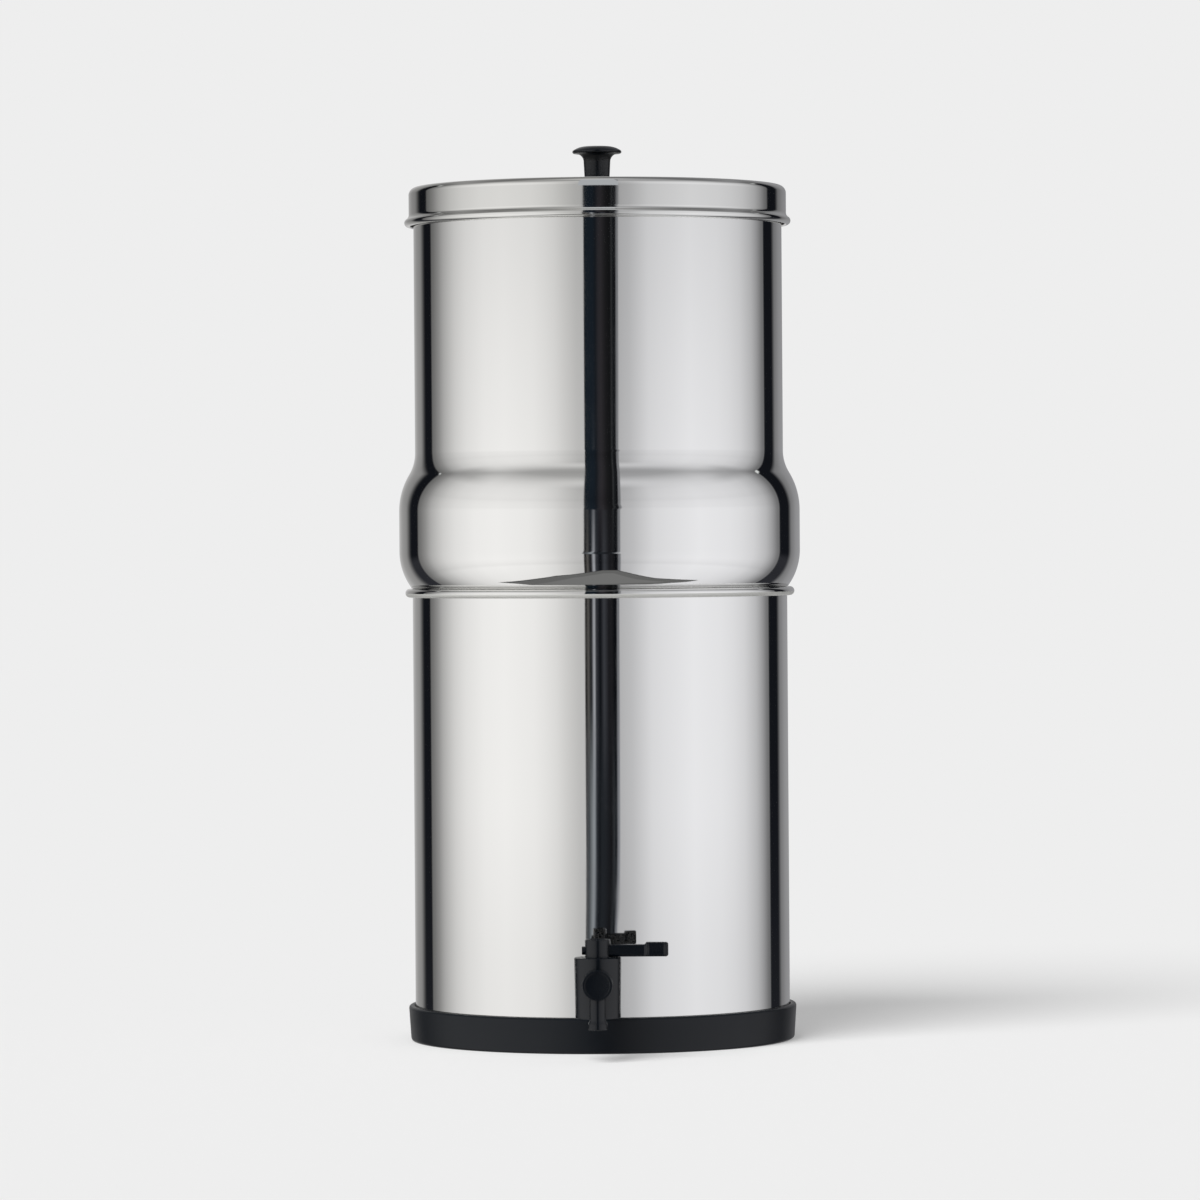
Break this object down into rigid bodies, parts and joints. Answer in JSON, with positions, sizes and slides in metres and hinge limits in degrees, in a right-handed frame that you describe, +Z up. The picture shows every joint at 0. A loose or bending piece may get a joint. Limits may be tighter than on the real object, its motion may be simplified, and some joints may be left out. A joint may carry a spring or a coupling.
{
  "type": "gravity water filter",
  "caption": "Gravity water filter: a polished steel upper chamber with ceramic candles nests on a lower tank with a lever tap, under a domed-edge lid with a knob.",
  "frame": {"origin": "on the chambers' axis, in the plane that the base ring stands on", "axes": "+Z up along the chambers' axis, -Y towards the tap, +X to the right seen from the tap's side"},
  "size_m": [0.216, 0.2715, 0.4812],
  "materials": {
    "polished_steel": "mirror-polished stainless steel sheet",
    "plated_steel": "bright zinc-plated steel",
    "black_plastic": "satin black moulded plastic",
    "black_rubber": "matt black moulded rubber",
    "white_plastic": "off-white moulded plastic",
    "ceramic": "unglazed white filter ceramic",
    "carbon": "packed granular carbon"
  },
  "bodies": {
    "lower": {"base_ring": "black_rubber", "lower_chamber": "polished_steel", "tap_body": "black_plastic", "tap_outer_washer": "black_rubber", "tap_inner_washer": "black_rubber", "tap_nut": "black_plastic"},
    "tap_valve": {"tap_spindle": "black_plastic", "spindle_o_rings": "black_rubber", "tap_lever": "black_plastic"},
    "upper": {"upper_chamber": "polished_steel", "left_candle_ceramic": "ceramic", "left_candle_cap": "white_plastic", "left_candle_carbon": "carbon", "left_candle_washer": "black_rubber", "left_wing_nut": "white_plastic", "right_candle_ceramic": "ceramic", "right_candle_cap": "white_plastic", "right_candle_carbon": "carbon", "right_candle_washer": "black_rubber", "right_wing_nut": "white_plastic", "front_blanking_plug": "white_plastic", "front_plug_washer": "black_rubber", "front_plug_nut": "white_plastic", "back_blanking_plug": "white_plastic", "back_plug_washer": "black_rubber", "back_plug_nut": "white_plastic"},
    "lid": {"lid": "polished_steel", "lid_knob": "black_plastic", "knob_screw": "plated_steel", "knob_washer": "plated_steel"}
  },
  "joints": [
    {"name": "upper_lift", "type": "slide", "parent": "lower", "child": "upper", "axis": [0, 0, 1], "range_m": [0, 0.12]},
    {"name": "lid_lift", "type": "slide", "parent": "upper", "child": "lid", "axis": [0, 0, 1], "range_m": [0, 0.06]},
    {"name": "tap_turn", "type": "hinge", "parent": "lower", "child": "tap_valve", "pos_m": [0, -0.144, 0.0404], "axis": [0, 0, 1], "range_deg": [-90, 0]}
  ]
}
